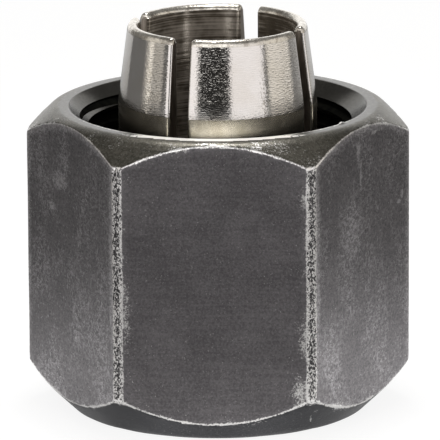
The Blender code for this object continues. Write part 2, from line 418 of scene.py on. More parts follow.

# %% [markdown]
# The thread is cut as on a lathe: a tool with a pointed nose runs along a helix and takes the
# metal away. The tool's profile is swept by a spin that also climbs, and the coil that it makes is
# taken from the nut with a Boolean. Its place was read from the photo, from where the first groove
# breaks out of the mouth's cone on the left side. The cut leaves slivers, so points that lie closer
# together than the welding distance are merged after it. The grooves are painted black without any
# shine, as painted shade deep in them together with old oil, and the crests between them keep the
# finish of the cone.

# %% The thread
PITCH = 1.27
ROOT = 11.1
THREAD_LOW = 12.6
TURN_STEPS = 96
LEFT_HEIGHT = 23.65
TOOL_BACK, TOOL_HALF, NOSE_HALF = 10.2, 0.626, 0.08
WELD = 0.002
GROOVES_FROM, CRESTS_FROM, NEAR = 12.1, 20.0, 0.01


def thread_coil():
    """Coil that the threading tool sweeps, right-hand, from the relief up to the mouth."""
    turns = math.ceil((TOP + 1.0 - THREAD_LOW) / PITCH)
    start = LEFT_HEIGHT - PITCH * math.floor((LEFT_HEIGHT - THREAD_LOW) / PITCH)
    bm = bmesh.new()
    tool = [
        (TOOL_BACK, TOOL_HALF), (ROOT, NOSE_HALF), (ROOT, -NOSE_HALF), (TOOL_BACK, -TOOL_HALF),
    ]
    verts = [bm.verts.new((-r * MM, 0.0, (start + z) * MM)) for r, z in tool]
    bm.faces.new(verts)
    steps = turns * TURN_STEPS
    bmesh.ops.spin(
        bm, geom=bm.verts[:] + bm.edges[:] + bm.faces[:], cent=(0, 0, 0), axis=(0, 0, 1),
        dvec=(0, 0, PITCH * MM / TURN_STEPS), angle=2 * math.pi * turns, steps=steps,
    )
    bmesh.ops.recalc_face_normals(bm, faces=bm.faces)
    coil = add_mesh("thread_coil", bm)
    heights = [v.co.z / MM for v in coil.data.vertices]
    print("the coil climbs from", round(min(heights), 2), "to", round(max(heights), 2), "mm")
    return coil


def cut_away(obj, cutter):
    """Take the cutter's shape out of the object, for good, and remove the cutter."""
    cut = obj.modifiers.new("cut", "BOOLEAN")
    cut.operation = "DIFFERENCE"
    cut.solver = "EXACT"
    cut.object = cutter
    done = bpy.data.meshes.new_from_object(obj.evaluated_get(bpy.context.evaluated_depsgraph_get()))
    obj.modifiers.clear()
    obj.data = done
    bpy.data.objects.remove(cutter, do_unlink=True)
    bm = bmesh.new()
    bm.from_mesh(done)
    bmesh.ops.remove_doubles(bm, verts=bm.verts, dist=WELD * MM)
    bmesh.ops.dissolve_degenerate(bm, edges=bm.edges, dist=WELD * MM)
    bmesh.ops.triangulate(bm, faces=[face for face in bm.faces if len(face.verts) > 4])
    print("after the cut", sum(not edge.is_manifold for edge in bm.edges), "edges are open")
    bm.to_mesh(done)
    bm.free()


def mark_thread(mesh):
    """Give the grooves of the thread their own finish, and its crests that of the cone."""
    slope = (TOP - LIP - ENTRY_LOW) / (MOUTH - 0.3 * LIP - CREST)
    for face in mesh.polygons:
        radius = face.center.xy.length / MM
        height = face.center.z / MM
        on_cone = abs(height - ENTRY_LOW - (radius - CREST) * slope) < NEAR
        on_crest = abs(radius - CREST) < NEAR
        if height > CRESTS_FROM and (on_crest or on_cone):
            face.material_index = MOUTH_CONE
        elif height > GROOVES_FROM and CREST + NEAR < radius < ROOT + 2 * NEAR:
            face.material_index = THREAD


nut = add_mesh("clamping_nut", nut_bm)
for _ in range(LAND + 1):
    nut.data.materials.append(None)
cut_away(nut, thread_coil())
mark_thread(nut.data)
print("after threading the nut has", len(nut.data.polygons), "faces")

# %% Smooth faces and sharp edges
def smooth(obj, angle):
    """Round faces shaded smooth, with edges kept sharp above an angle in degrees."""
    obj.data.shade_smooth()
    obj.data.set_sharp_from_angle(angle=math.radians(angle))


def sharpen_thread(mesh):
    """Sharp edges all round the grooves, so that they don't tint the faces beside them."""
    kinds = {}
    for face in mesh.polygons:
        for key in face.edge_keys:
            kinds.setdefault(key, set()).add(face.material_index == THREAD)
    for edge in mesh.edges:
        if len(kinds.get(edge.key, ())) > 1:
            edge.use_edge_sharp = True


smooth(nut, 30.0)
sharpen_thread(nut.data)

# %% [markdown]
# Black oxide is a thin dark skin on the steel. It is a little brownish where it was turned and
# greyer on the milled flats, and wherever the nut was touched often it has rubbed through to bare
# steel: a ragged bright line along each edge, bright grains beside it, and faint smears on the
# flats. How much is rubbed off comes from the distance to the nearest edge, which each point of
# the mesh carries, upset by noise so that the line never runs even. The lower edges are worn most,
# because the nut stands on them, and dust lies in the smears under the upper arcs. Smudges,
# scratches and rubbed spots that the photo shows are listed one by one. One bright spot on the
# front of the top chamfer's rounding is a painted highlight, and so is the bright front of the
# mouth's rim. The lower chamfer has a far darker colour than the flats, as painted shade.

# %% Blackened steel
BARE_STEEL = (0.74, 0.725, 0.71)


def carried(tree, name):
    """Number that each point of the mesh carries."""
    return put(tree, "Attribute", {}, output="Fac", attribute_name=name)


def mark(tree, centre, size):
    """Patch on the surface: 1 at its centre, 0 outside its size, all in millimetres."""
    place = put(tree, "TexCoord", {}, output="Object")
    sockets = {"Vector": place, "Location": Vector(centre) * MM, "Scale": Vector(size) * MM}
    inside = put(tree, "Mapping", sockets, vector_type="TEXTURE")
    away = put(tree, "VectorMath", {0: inside}, output="Value", operation="LENGTH")
    return rise(tree, away, 0.0, 1.0, 1.0, 0.0)


def wear_and_highlight_share(tree, place, reach, halo, wear_and_highlight_patches=None):
    """Share of bare steel: 1 on the edges, in grains beside them, 0 elsewhere.

    The given patches are made brighter, like bare steel: worn spots, and on the chamfer one painted
    highlight.
    """
    from_edge = carried(tree, "from_edge")
    line_wear = carried(tree, "line_wear")
    wander = grain(tree, place, 0.7, detail=4.0, rough=0.65)
    width = rise(tree, wander, 0.3, 0.7, 0.5 * reach, 1.6 * reach)
    width = maths(tree, "MULTIPLY", width, line_wear)
    near = rise(tree, maths(tree, "DIVIDE", from_edge, width), 0.0, 1.0, 1.0, 0.0)
    tufts = rise(tree, grain(tree, place, 0.45, detail=3.0), 0.5, 0.68)
    beside = maths(tree, "MULTIPLY", rise(tree, from_edge, 0.0, halo, 1.0, 0.0), tufts)
    grains = grain(tree, place, 7.0, detail=3.0, rough=0.7, distort=0.4)
    pull = maths(tree, "MULTIPLY_ADD", line_wear, 0.24, 0.1)
    level = maths(tree, "MULTIPLY_ADD", near, pull, grains)
    level = maths(tree, "MULTIPLY_ADD", beside, 0.15, level)
    if wear_and_highlight_patches:
        level = maths(tree, "MULTIPLY_ADD", patches(tree, wear_and_highlight_patches), 0.15, level)
    return rise(tree, level, 0.62, 0.82)


def patches(tree, marks):
    """All the marks of a list of (strength, centre, size), added up."""
    total = 0.0
    for strength, centre, size in marks:
        total = maths(tree, "MULTIPLY_ADD", mark(tree, centre, size), strength, total)
    return total


def black_oxide(dark, light, rough, reach, halo, smears, handled=None, wear_and_highlight_patches=None):
    """Recipe for a blackened face with worn edges, and with marks of its own if it has any."""
    def paint(tree):
        place = millimetres(tree)
        wear_and_highlight = wear_and_highlight_share(tree, place, reach, halo, wear_and_highlight_patches)
        fine = grain(tree, place, 5.5, detail=3.0, rough=0.7)
        lines = grain(tree, millimetres(tree, (0.25, 0.25, 4.5)), 1.0, detail=2.0)
        clouds = grain(tree, place, 0.35, detail=4.0, rough=0.6)
        level = maths(tree, "MULTIPLY_ADD", lines, 0.3, fine)
        level = maths(tree, "MULTIPLY_ADD", clouds, 0.3, level)
        skin = blend_colour(tree, rise(tree, level, 0.58, 1.02), dark, light)
        touched = carried(tree, "touched")
        worms = millimetres(tree, (0.65, 0.65, 1.0))
        worms = grain(tree, worms, 4.5, detail=3.0, rough=0.7, distort=0.6)
        patch = grain(tree, millimetres(tree, (1.0, 1.0, 0.6)), 0.3, detail=4.0)
        share = maths(tree, "MULTIPLY", touched, smears)
        share = maths(tree, "MULTIPLY", share, rise(tree, patch, 0.36, 0.66, 0.2, 0.9))
        dusty = rise(tree, carried(tree, "from_edge"), 0.05, 0.75, smears, 0.0)
        dusty = maths(tree, "MULTIPLY", dusty, touched)
        height = put(tree, "SeparateXYZ", {0: place}, output="Z")
        dusty = maths(tree, "MULTIPLY", dusty, rise(tree, height, 5.0, 12.0, 0.2, 1.0))
        share = maths(tree, "ADD", share, dusty)
        soft = maths(tree, "MULTIPLY", dusty, 0.5)
        if handled:
            touches = patches(tree, handled)
            share = maths(tree, "ADD", share, touches)
            soft = maths(tree, "MULTIPLY_ADD", touches, 0.22, soft)
        smear = maths(tree, "MULTIPLY_ADD", rise(tree, worms, 0.42, 0.7), share, soft)
        contour = grain(tree, millimetres(tree, (1.0, 1.0, 0.55)), 2.0, detail=2.0, distort=0.5)
        contour = maths(tree, "ABSOLUTE", maths(tree, "SUBTRACT", contour, 0.5))
        scratches = maths(tree, "MULTIPLY", rise(tree, contour, 0.004, 0.022, 1.3, 0.0), share)
        dots = rise(tree, grain(tree, place, 3.4, detail=1.0), 0.66, 0.72, 0.0, 0.6 * smears)
        dots = maths(tree, "MULTIPLY", dots, maths(tree, "MULTIPLY_ADD", touched, 0.9, 0.15))
        smear = maths(tree, "MAXIMUM", smear, maths(tree, "MAXIMUM", scratches, dots))
        pits = rise(tree, grain(tree, place, 6.0, detail=2.0, rough=0.6), 0.56, 0.7, 0.0, 0.7)
        pits = maths(tree, "MULTIPLY", pits, maths(tree, "MULTIPLY", touched, smears))
        skin = blend_colour(tree, pits, skin, (0.04, 0.039, 0.042))
        skin = blend_colour(tree, smear, skin, (0.425, 0.41, 0.42))
        colour = blend_colour(tree, wear_and_highlight, skin, BARE_STEEL)
        roughness = blend_number(tree, wear_and_highlight, rise(tree, clouds, 0.3, 0.7, rough, rough + 0.05), 0.3)
        height = maths(tree, "MULTIPLY_ADD", wear_and_highlight, 0.12, fine)
        bump = bumps(tree, 0.8, 0.025, height)
        return {"Base Color": colour, "Roughness": roughness, "Normal": bump}
    return paint


def dark_turned(dark, light, rough):
    """Recipe for turned faces inside the nut that nothing rubs."""
    def paint(tree):
        place = millimetres(tree)
        fine = grain(tree, place, 5.5, detail=2.0, rough=0.65)
        clouds = grain(tree, place, 0.35, detail=4.0, rough=0.6)
        level = maths(tree, "MULTIPLY_ADD", clouds, 0.6, fine)
        colour = blend_colour(tree, rise(tree, level, 0.6, 1.0), dark, light)
        bump = bumps(tree, 0.5, 0.01, fine)
        looks = {"Base Color": colour, "Roughness": rough, "Normal": bump}
        return looks | {"Specular Tint": (0.7, 0.7, 0.7, 1.0)}
    return paint


def groove_painted_shade_and_oil(tree):
    """Grooves of the thread: black without any shine, painted shade deep in them together with old
    oil.
    """
    shade = rise(tree, grain(tree, millimetres(tree), 1.5, detail=3.0), 0.3, 0.7)
    colour = blend_colour(tree, shade, (0.002, 0.002, 0.002), (0.005, 0.005, 0.004))
    return {"Base Color": colour, "Metallic": 0.0, "Roughness": 0.6, "Specular IOR Level": 0.0}


HANDLED = [
    (2.1, (-12.5, -5.35, 19.5), (1.7, 1.7, 1.0)),
    (0.9, (-11.95, -6.3, 20.9), (0.6, 0.6, 1.5)),
    (1.5, (-13.18, -4.17, 17.1), (0.8, 0.8, 0.6)),
    (3.2, (11.3, -7.4, 22.4), (0.36, 0.36, 1.1)),
    (2.6, (11.5, -7.07, 20.3), (0.2, 0.2, 1.6)),
    (0.6, (10.65, -8.55, 16.5), (2.6, 2.6, 4.0)),
    (4.5, (12.54, -5.28, 23.45), (0.5, 0.5, 0.22)),
    (3.4, (14.55, -1.8, 16.95), (0.5, 0.5, 0.22)),
    (2.6, (14.75, -1.45, 17.5), (0.3, 0.3, 0.6)),
    (0.45, (9.08, -11.28, 7.15), (3.5, 3.5, 4.5)),
]
RUBBED_FLATS = [
    (1.6, (6.9, -13.5, 4.2), (1.4, 1.4, 2.4)),
    (1.2, (7.1, -13.5, 9.0), (0.9, 0.9, 2.6)),
    (1.3, (7.1, -13.5, 19.9), (0.7, 0.7, 1.4)),
    (0.9, (-7.0, -13.5, 10.0), (0.7, 0.7, 5.0)),
]
CHAMFER_WEAR_AND_HIGHLIGHT = [
    (0.92, (4.8, -12.6, 23.9), (3.6, 1.6, 1.1)),
    (0.42, (-7.9, -10.9, 24.1), (2.4, 2.4, 0.8)),
    # Painted highlight on the front of the top chamfer's rounding; the two patches above are worn
    # spots.
    (1.0, (0.3, -13.3, 24.3), (3.0, 0.6, 0.7)),
]
RUBBED_FOOT = [
    (1.8, (7.52, -11.05, 1.45), (0.17, 0.9, 0.8)),
    (1.5, (7.95, -11.75, 2.25), (0.3, 0.5, 0.4)),
]
milled = metal("blackened_flats", black_oxide(
    (0.108, 0.102, 0.106), (0.178, 0.168, 0.173), 0.38, 0.2, 1.3, 1.0, HANDLED, RUBBED_FLATS))
chamfer = metal("blackened_chamfers_and_painted_highlight", black_oxide(
    (0.06, 0.057, 0.047), (0.14, 0.131, 0.111), 0.38, 0.17, 1.6, 0.0, None, CHAMFER_WEAR_AND_HIGHLIGHT))
# The lower chamfer gets a far darker colour than the flats: painted shade.
painted_shade_foot = metal("blackened_foot_painted_shade", black_oxide(
    (0.021, 0.021, 0.024), (0.036, 0.036, 0.041), 0.38, 0.17, 0.8, 0.0, None, RUBBED_FOOT))
mouth = metal("blackened_mouth", dark_turned((0.068, 0.066, 0.06), (0.105, 0.101, 0.093), 0.22))
# The grooves' black without shine is painted shade, together with old oil.
thread = metal("thread_painted_shade_and_oil", groove_painted_shade_and_oil)


def rim_wear_and_painted_highlight(tree):
    """Rim of the mouth, with worn grains, and with a painted highlight: its inner edge on the
    camera's half and its front get a bright, less metallic colour.
    """
    place = millimetres(tree)
    grains = grain(tree, place, 3.5, detail=4.0, rough=0.7)
    flat_place = put(tree, "VectorMath", {0: place, 1: (1.0, 1.0, 0.0)}, operation="MULTIPLY")
    radius = put(tree, "VectorMath", {0: flat_place}, output="Value", operation="LENGTH")
    behind = put(tree, "SeparateXYZ", {0: place}, output="Y")
    # Painted highlight on the inner edge, over the camera's half of the rim.
    painted_lip_highlight = rise(tree, radius, MOUTH + 0.1, MOUTH + 0.26, 1.0, 0.0)
    painted_lip_highlight = maths(tree, "MULTIPLY", painted_lip_highlight, rise(tree, behind, -9.0, -3.0, 0.36, 0.0))
    # Painted highlight on the front of the rim, nearest the camera.
    front = rise(tree, behind, -12.0, -10.0, 0.8, 0.0)
    level = maths(tree, "ADD", maths(tree, "ADD", grains, painted_lip_highlight), front)
    wear_and_highlight = rise(tree, level, 0.62, 0.86)
    shade = rise(tree, grains, 0.3, 0.7)
    dull = blend_colour(tree, shade, (0.045, 0.043, 0.038), (0.09, 0.086, 0.078))
    # The bright colour is less metallic than steel, so that it catches light from above as a painted
    # highlight; only its scattered grains elsewhere are worn steel.
    colour = blend_colour(tree, wear_and_highlight, dull, (0.92, 0.9, 0.86))
    bump = bumps(tree, 0.5, 0.015, grains)
    looks = {"Base Color": colour, "Roughness": 0.3, "Normal": bump}
    return looks | {"Metallic": 0.35, "Specular IOR Level": 0.2}


def mottled(tree):
    """Corner strip: half of the oxide is gone, in worm-like patches, and its borders are bright."""
    place = millimetres(tree, (1.0, 1.0, 0.7))
    border = rise(tree, carried(tree, "from_edge"), 0.0, 0.36, 1.0, 0.0)
    border = maths(tree, "MULTIPLY", border, carried(tree, "line_wear"))
    broken = rise(tree, grain(tree, place, 0.6, detail=2.0), 0.36, 0.64, 0.12, 0.3)
    worms = grain(tree, place, 7.0, detail=2.0, rough=0.65, distort=0.7)
    level = maths(tree, "MULTIPLY_ADD", border, broken, worms)
    wear_and_highlight = rise(tree, level, 0.49, 0.62)
    colour = blend_colour(tree, wear_and_highlight, (0.06, 0.058, 0.06), BARE_STEEL)
    bump = bumps(tree, 0.6, 0.03, wear_and_highlight)
    return {"Base Color": colour, "Roughness": 0.36, "Normal": bump}


strip = metal("worn_corner_strips", mottled)
land = metal("rim_wear_and_painted_highlight", rim_wear_and_painted_highlight)
for index, material in enumerate((milled, chamfer, strip, mouth, thread, painted_shade_foot, land)):
    nut.data.materials[index] = material

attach(nut, "nut")
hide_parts("collet_nut")

# %% [markdown]
# The collet is turned from spring steel, slotted four times from its rear end, hardened, ground
# on its taper and plated. The mesh is one spin again. Its columns are moved so that they run along
# the parallel walls of the slots, the last few of each finger roll over its rounded corner, and
# the faces between the fingers are taken out and the slots' walls filled in. A narrow band round
# the taper runs straight, so that its lower end lies a third of a millimetre under the cone.

# %% Section of the collet
END = collet_high.z / MM
HALF_SLOT = 0.75
SLOT_LOW = 7.404
SLOT_TURN = -22.0
BORE_RADIUS = 6.35
TAPER_END, TAPER_LOW = 7.16, 9.66
TAPER_BASE = 11.864
BAND_ROOT, BAND_LOW, BAND_HIGH = 21.2, 22.5, 25.07
LOW_ROWS = 5
BORE_ROWS = 8
HIGH_ROWS = 4
TAPER_ROWS = LOW_ROWS + HIGH_ROWS + 5
OUTER_ROUND, INNER_ROUND, CLOSE_ROW = 0.45, 0.36, 0.06
BORE_CORNER, TAPER_CORNER, END_CORNER = 0.2, 0.22, 0.3


def taper_radius(height):
    """Radius of the taper at a height."""
    return TAPER_LOW + (TAPER_END - TAPER_LOW) * (height - TAPER_BASE) / (END - TAPER_BASE)


def collet_section():
    """Closed section of the collet and the rounding of a finger's corner at each of its points."""
    body = [
        (6.95, 1.0), (7.65, 1.0), (8.05, 1.4), (8.05, 3.524), (9.8, 5.274), (9.8, SLOT_LOW),
        (9.8, 7.9), (9.8, 8.404), (8.4, 8.404), (8.4, 10.604), (9.66, TAPER_BASE),
    ]
    rows = [(r, z, 0.0 if z <= SLOT_LOW else BORE_CORNER) for r, z in body]
    shoulder = END - OUTER_ROUND
    low = [TAPER_BASE + (BAND_ROOT - TAPER_BASE) * row / LOW_ROWS for row in range(1, LOW_ROWS + 1)]
    above = shoulder - CLOSE_ROW - BAND_HIGH
    high = [BAND_HIGH + above * row / HIGH_ROWS for row in range(HIGH_ROWS + 1)]
    band = taper_radius(BAND_HIGH)
    taper = [(taper_radius(z), z) for z in low]
    taper += [(band, z) for z in (BAND_LOW, BAND_LOW + 0.1, BAND_HIGH - 0.05)]
    taper += [(taper_radius(z), z) for z in high + [shoulder]]
    rows += [(r, z, TAPER_CORNER) for r, z in taper]
    outer = curve((taper_radius(shoulder), shoulder), (7.1, END - 0.02), (6.86, END), 6)[1:]
    inner = curve((6.72, END), (6.5, END - 0.02), (BORE_RADIUS, END - INNER_ROUND), 5)
    rows += [(r, z, END_CORNER) for r, z in outer + inner]
    for row in range(BORE_ROWS + 1):
        top = END - INNER_ROUND - (CLOSE_ROW if row == 0 else 0.0)
        height = top + (SLOT_LOW + 0.4 - END + INNER_ROUND) * row / BORE_ROWS
        rows.append((BORE_RADIUS, height, BORE_CORNER))
    rows += [(BORE_RADIUS, SLOT_LOW, 0.0), (BORE_RADIUS, 1.6, 0.0)]
    return rows


collet_rows = collet_section()
FIRST_SLOT_ROW = 5
LAST_SLOT_ROW = len(collet_rows) - 2
BORE_ROW = LAST_SLOT_ROW - BORE_ROWS - 1
END_ROW = 9 + TAPER_ROWS
FIRST_BAND = 10 + LOW_ROWS
BORE_WALL, SLOT_WALL, ROUND_END, STRAIGHT_BAND = 1, 2, 3, 4
print("the collet's section has", len(collet_rows), "points")

# %% Columns of the collet
SLOT_COLUMNS = 6
ROUND_COLUMNS = 5
FINGER_COLUMNS = 60
QUARTER = SLOT_COLUMNS + 2 * ROUND_COLUMNS + FINGER_COLUMNS


def into_metal(row):
    """Direction into the metal at a point of the section."""
    count = len(collet_rows)
    before, after = collet_rows[(row - 1) % count], collet_rows[(row + 1) % count]
    along = Vector((after[0] - before[0], after[1] - before[1])).normalized()
    return Vector((-along.y, along.x))


def finger_place(row, step):
    """Point of one quarter of the collet: from the middle of one slot to that of the next."""
    radius, height, corner = collet_rows[row]
    mirrored = step > QUARTER / 2
    step = min(step, QUARTER - step)
    half = SLOT_COLUMNS / 2
    if step < half:
        angle = math.asin(HALF_SLOT / radius) * step / half
    else:
        turn = min(1.0, (step - half) / ROUND_COLUMNS) * math.pi / 2
        inset = corner * (1 - math.sin(turn))
        beside = HALF_SLOT + max(corner, 0.1) * (1 - math.cos(turn))
        shift = into_metal(row) * inset
        radius, height = radius + shift.x, height + shift.y
        angle = math.asin(beside / radius)
        if step > half + ROUND_COLUMNS:
            share = (step - half - ROUND_COLUMNS) / (FINGER_COLUMNS / 2)
            angle += (math.pi / 4 - angle) * share
    if mirrored:
        angle = math.pi / 2 - angle
    return radius, angle, height


# %% The collet's body
collet_bm, row_tag = turned(collet_rows, 4 * QUARTER)
first_slot = math.radians(SLOT_TURN) - math.pi / 2
spots = {}
for vert in collet_bm.verts:
    column = column_of(vert, 4 * QUARTER)
    radius, angle, height = finger_place(vert[row_tag], column % QUARTER)
    angle += first_slot + column // QUARTER * math.pi / 2
    spots[vert[row_tag], column] = vert
    vert.co = Vector((radius * math.cos(angle), radius * math.sin(angle), height)) * MM

in_slot = range(-SLOT_COLUMNS // 2, SLOT_COLUMNS // 2 + 1)
open_rows = range(FIRST_SLOT_ROW, LAST_SLOT_ROW + 1)
for quarter in range(4):
    columns = [(quarter * QUARTER + step) % (4 * QUARTER) for step in in_slot]
    gone = [spots[row, column] for row in open_rows for column in columns]
    inside = set(gone)
    faces = {f for v in gone for f in v.link_faces if all(corner in inside for corner in f.verts)}
    bmesh.ops.delete(collet_bm, geom=list(faces), context="FACES")
    for side in (columns[0], columns[-1]):
        wall = [spots[row, side] for row in open_rows]
        floor_edge = collet_bm.edges.new((wall[0], wall[-1]))
        loop = [collet_bm.edges.get(pair) for pair in zip(wall, wall[1:])] + [floor_edge]
        bmesh.ops.edgeloop_fill(collet_bm, edges=loop)
    outer = [spots[FIRST_SLOT_ROW, column] for column in columns]
    inner = [spots[LAST_SLOT_ROW, column] for column in columns]
    loop = [collet_bm.edges.get(pair) for pair in zip(outer, outer[1:])]
    loop += [collet_bm.edges.get(pair) for pair in zip(inner, inner[1:])]
    loop += [collet_bm.edges.get((a, b)) for a, b in ((outer[0], inner[0]), (outer[-1], inner[-1]))]
    bmesh.ops.edgeloop_fill(collet_bm, edges=loop)
bmesh.ops.recalc_face_normals(collet_bm, faces=collet_bm.faces)
for face in collet_bm.faces:
    rows = [vert[row_tag] for vert in face.verts]
    if len(face.verts) > 4:
        face.material_index = SLOT_WALL
    elif min(rows) >= BORE_ROW:
        face.material_index = BORE_WALL
    elif min(rows) >= END_ROW:
        face.material_index = ROUND_END
    elif min(rows) >= FIRST_BAND and max(rows) <= FIRST_BAND + 3:
        face.material_index = STRAIGHT_BAND
open_edges = [edge for edge in collet_bm.edges if not edge.is_manifold]
print("the collet has", len(collet_bm.faces), "faces and", len(open_edges), "open edges")

collet = add_mesh("slotted_collet", collet_bm)
smooth(collet, 30.0)

# %% [markdown]
# Nickel plate over ground steel mirrors its surroundings softly. Tiny pits left by the blasting
# break the mirror up into grains, and turning marks run round the bore. The rounded ends of the
# fingers are duller, and the straight band, which the spindle's taper never touches, is duller too
# and has a yellower colour. Dried oil and dark pits lie where the photo shows them.

# %% Plated steel
OIL_BROWN, PIT_BROWN = (0.16, 0.14, 0.105), (0.2, 0.18, 0.145)
STAINS = [
    (0.9, (-7.4, -4.3, 21.6), (5.0, 5.0, 4.2)),
    (0.8, (6.6, -5.2, 22.0), (4.6, 4.6, 2.4)),
]
PITTED = [
    (1.0, (-5.2, -5.9, 26.3), (1.5, 1.5, 5.5)),
    (0.9, (3.97, -6.8, 26.0), (0.8, 0.8, 7.0)),
    (0.6, (5.9, -5.1, 26.5), (1.5, 1.5, 5.0)),
]


def stained(tree, colour):
    """The colour, browned where old oil has dried, and with dark pits here and there."""
    pits = grain(tree, millimetres(tree), 5.5, detail=2.0, rough=0.6)
    pits = maths(tree, "MULTIPLY", rise(tree, pits, 0.5, 0.6, 0.0, 0.75), patches(tree, PITTED))
    colour = blend_colour(tree, pits, colour, PIT_BROWN)
    return blend_colour(tree, patches(tree, STAINS), colour, OIL_BROWN)


def plated(tree):
    """Satin nickel with fine pits and, faintly, the marks of the lathe."""
    place = millimetres(tree)
    pits = grain(tree, millimetres(tree, (1.0, 1.0, 3.0)), 3.3, detail=2.0, rough=0.6)
    clouds = grain(tree, place, 0.5, detail=3.0)
    shade = rise(tree, clouds, 0.35, 0.7)
    colour = blend_colour(tree, shade, (0.64, 0.615, 0.585), (0.60, 0.57, 0.53))
    colour = stained(tree, colour)
    roughness = rise(tree, clouds, 0.3, 0.7, 0.035, 0.055)
    bump = bumps(tree, 1.0, 0.0115, pits)
    return {"Base Color": colour, "Roughness": roughness, "Normal": bump}


def tumbled(tree):
    """Rounded rear ends of the fingers, duller than the taper and stained here and there."""
    place = millimetres(tree)
    stain = grain(tree, place, 1.6, detail=4.0, rough=0.7)
    pits = grain(tree, place, 5.0, detail=2.0)
    shade = rise(tree, stain, 0.4, 0.66)
    colour = blend_colour(tree, shade, (0.58, 0.55, 0.50), (0.33, 0.30, 0.26))
    bump = bumps(tree, 1.0, 0.02, pits)
    return {"Base Color": colour, "Roughness": 0.26, "Normal": bump}


def dull_yellow_band(tree):
    """Straight band under the taper, which the spindle never touches: duller, with a yellower colour.
    """
    clouds = grain(tree, millimetres(tree), 1.1, detail=4.0)
    shade = rise(tree, clouds, 0.35, 0.65)
    colour = blend_colour(tree, shade, (0.66, 0.62, 0.53), (0.54, 0.5, 0.41))
    colour = stained(tree, colour)
    bump = bumps(tree, 0.5, 0.01, clouds)
    return {"Base Color": colour, "Roughness": 0.25, "Normal": bump}


def bored(tree):
    """Bore, browned by hardening, with the fine rings of the boring tool."""
    rings = grain(tree, millimetres(tree, (0.03, 0.03, 4.5)), 1.0, detail=3.0, rough=0.7)
    stain = grain(tree, millimetres(tree), 0.7, detail=4.0)
    level = maths(tree, "MULTIPLY_ADD", rings, 0.6, maths(tree, "MULTIPLY", stain, 0.4))
    level = maths(tree, "MULTIPLY_ADD", mark(tree, (4.6, 4.4, 28.5), (4.0, 4.0, 5.0)), -0.16, level)
    shade = rise(tree, level, 0.4, 0.6)
    colour = blend_colour(tree, shade, (0.12, 0.1, 0.075), (0.48, 0.43, 0.37))
    bump = bumps(tree, 1.0, 0.025, rings)
    return {"Base Color": colour, "Metallic": 0.6, "Roughness": 0.12, "Normal": bump}


def sawn(tree):
    """Walls of the slots, darker and a little rough from the slitting saw."""
    cuts = grain(tree, millimetres(tree, (3.0, 3.0, 0.5)), 1.0, detail=3.0)
    shade = rise(tree, cuts, 0.3, 0.7)
    colour = blend_colour(tree, shade, (0.3, 0.265, 0.225), (0.17, 0.145, 0.12))
    bump = bumps(tree, 0.5, 0.02, cuts)
    return {"Base Color": colour, "Roughness": 0.35, "Normal": bump}


for name, paint in (("nickel_plate", plated), ("browned_bore", bored), ("sawn_slot", sawn),
                    ("tumbled_ends", tumbled), ("dull_yellow_band_plate", dull_yellow_band)):
    collet.data.materials.append(metal(name, paint))
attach(collet, "collet")
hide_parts("spring_collet")

# %% [markdown]
# The retaining ring is a length of spring wire bent almost to a full circle. A round is spun along
# that circle, and its two ends are closed and slightly rounded as cut wire ends are.

# %% Retaining ring
WIRE = (ring_high.z - ring_low.z) / 2
RING_MIDDLE = (ring_high.z + ring_low.z) / 2
RING_RADIUS = ring_high.x - WIRE
RING_GAP = math.radians(14.0)
WIRE_SIDES, RING_STEPS = 24, 144
END_ROUNDING = 0.15

ring_bm = bmesh.new()
upright = Matrix.Translation((RING_RADIUS, 0.0, RING_MIDDLE)) @ Matrix.Rotation(math.pi / 2, 4, "X")
bmesh.ops.create_circle(ring_bm, segments=WIRE_SIDES, radius=WIRE, matrix=upright)
first_end = Matrix.Rotation(math.pi / 2 + RING_GAP / 2, 3, "Z")
bmesh.ops.rotate(ring_bm, matrix=first_end, verts=ring_bm.verts)
bmesh.ops.spin(
    ring_bm, geom=ring_bm.verts[:] + ring_bm.edges[:], cent=(0, 0, 0), axis=(0, 0, 1),
    angle=2 * math.pi - RING_GAP, steps=RING_STEPS,
)
bmesh.ops.holes_fill(ring_bm, edges=ring_bm.edges, sides=WIRE_SIDES)
bmesh.ops.recalc_face_normals(ring_bm, faces=ring_bm.faces)
ends = [edge for face in ring_bm.faces if len(face.verts) > 4 for edge in face.edges]
bmesh.ops.bevel(
    ring_bm, geom=ends, offset=END_ROUNDING * MM, affect="EDGES", segments=3, profile=0.5,
    material=-1,
)
ring = add_mesh("wire_ring", ring_bm)
print("the ring has", len(ring.data.polygons), "faces")
smooth(ring, 40.0)


def drawn_wire(tree):
    """Oiled spring wire with a fine grain."""
    place = millimetres(tree)
    clouds = grain(tree, place, 1.2, detail=4.0)
    shade = rise(tree, clouds, 0.3, 0.7)
    colour = blend_colour(tree, shade, (0.38, 0.365, 0.34), (0.27, 0.25, 0.22))
    roughness = rise(tree, clouds, 0.3, 0.7, 0.28, 0.4)
    bump = bumps(tree, 0.2, 0.01, grain(tree, place, 8.0))
    return {"Base Color": colour, "Roughness": roughness, "Normal": bump}


ring.data.materials.append(metal("spring_wire", drawn_wire))
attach(ring, "ring")
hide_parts("retaining_ring")

# %% [markdown]
# The floor is white paper. To the camera it is three parts plain white and one part real lit
# paper, so that a trace of the object's soft shadow stays on it. To the metal it shows painted
# light: it glows white close to the object, in two sectors in front of it and faintly far behind
# it, with painted shade near the nut's base at its sides and back, and elsewhere the metal sees it
# painted a darker grey, because the bands on the photo's collet show a bright table with dark
# surroundings. The paper under the bore is plain lit paper, or it would shine through.

# %% Floor
FLOOR_RADIUS = 6.0


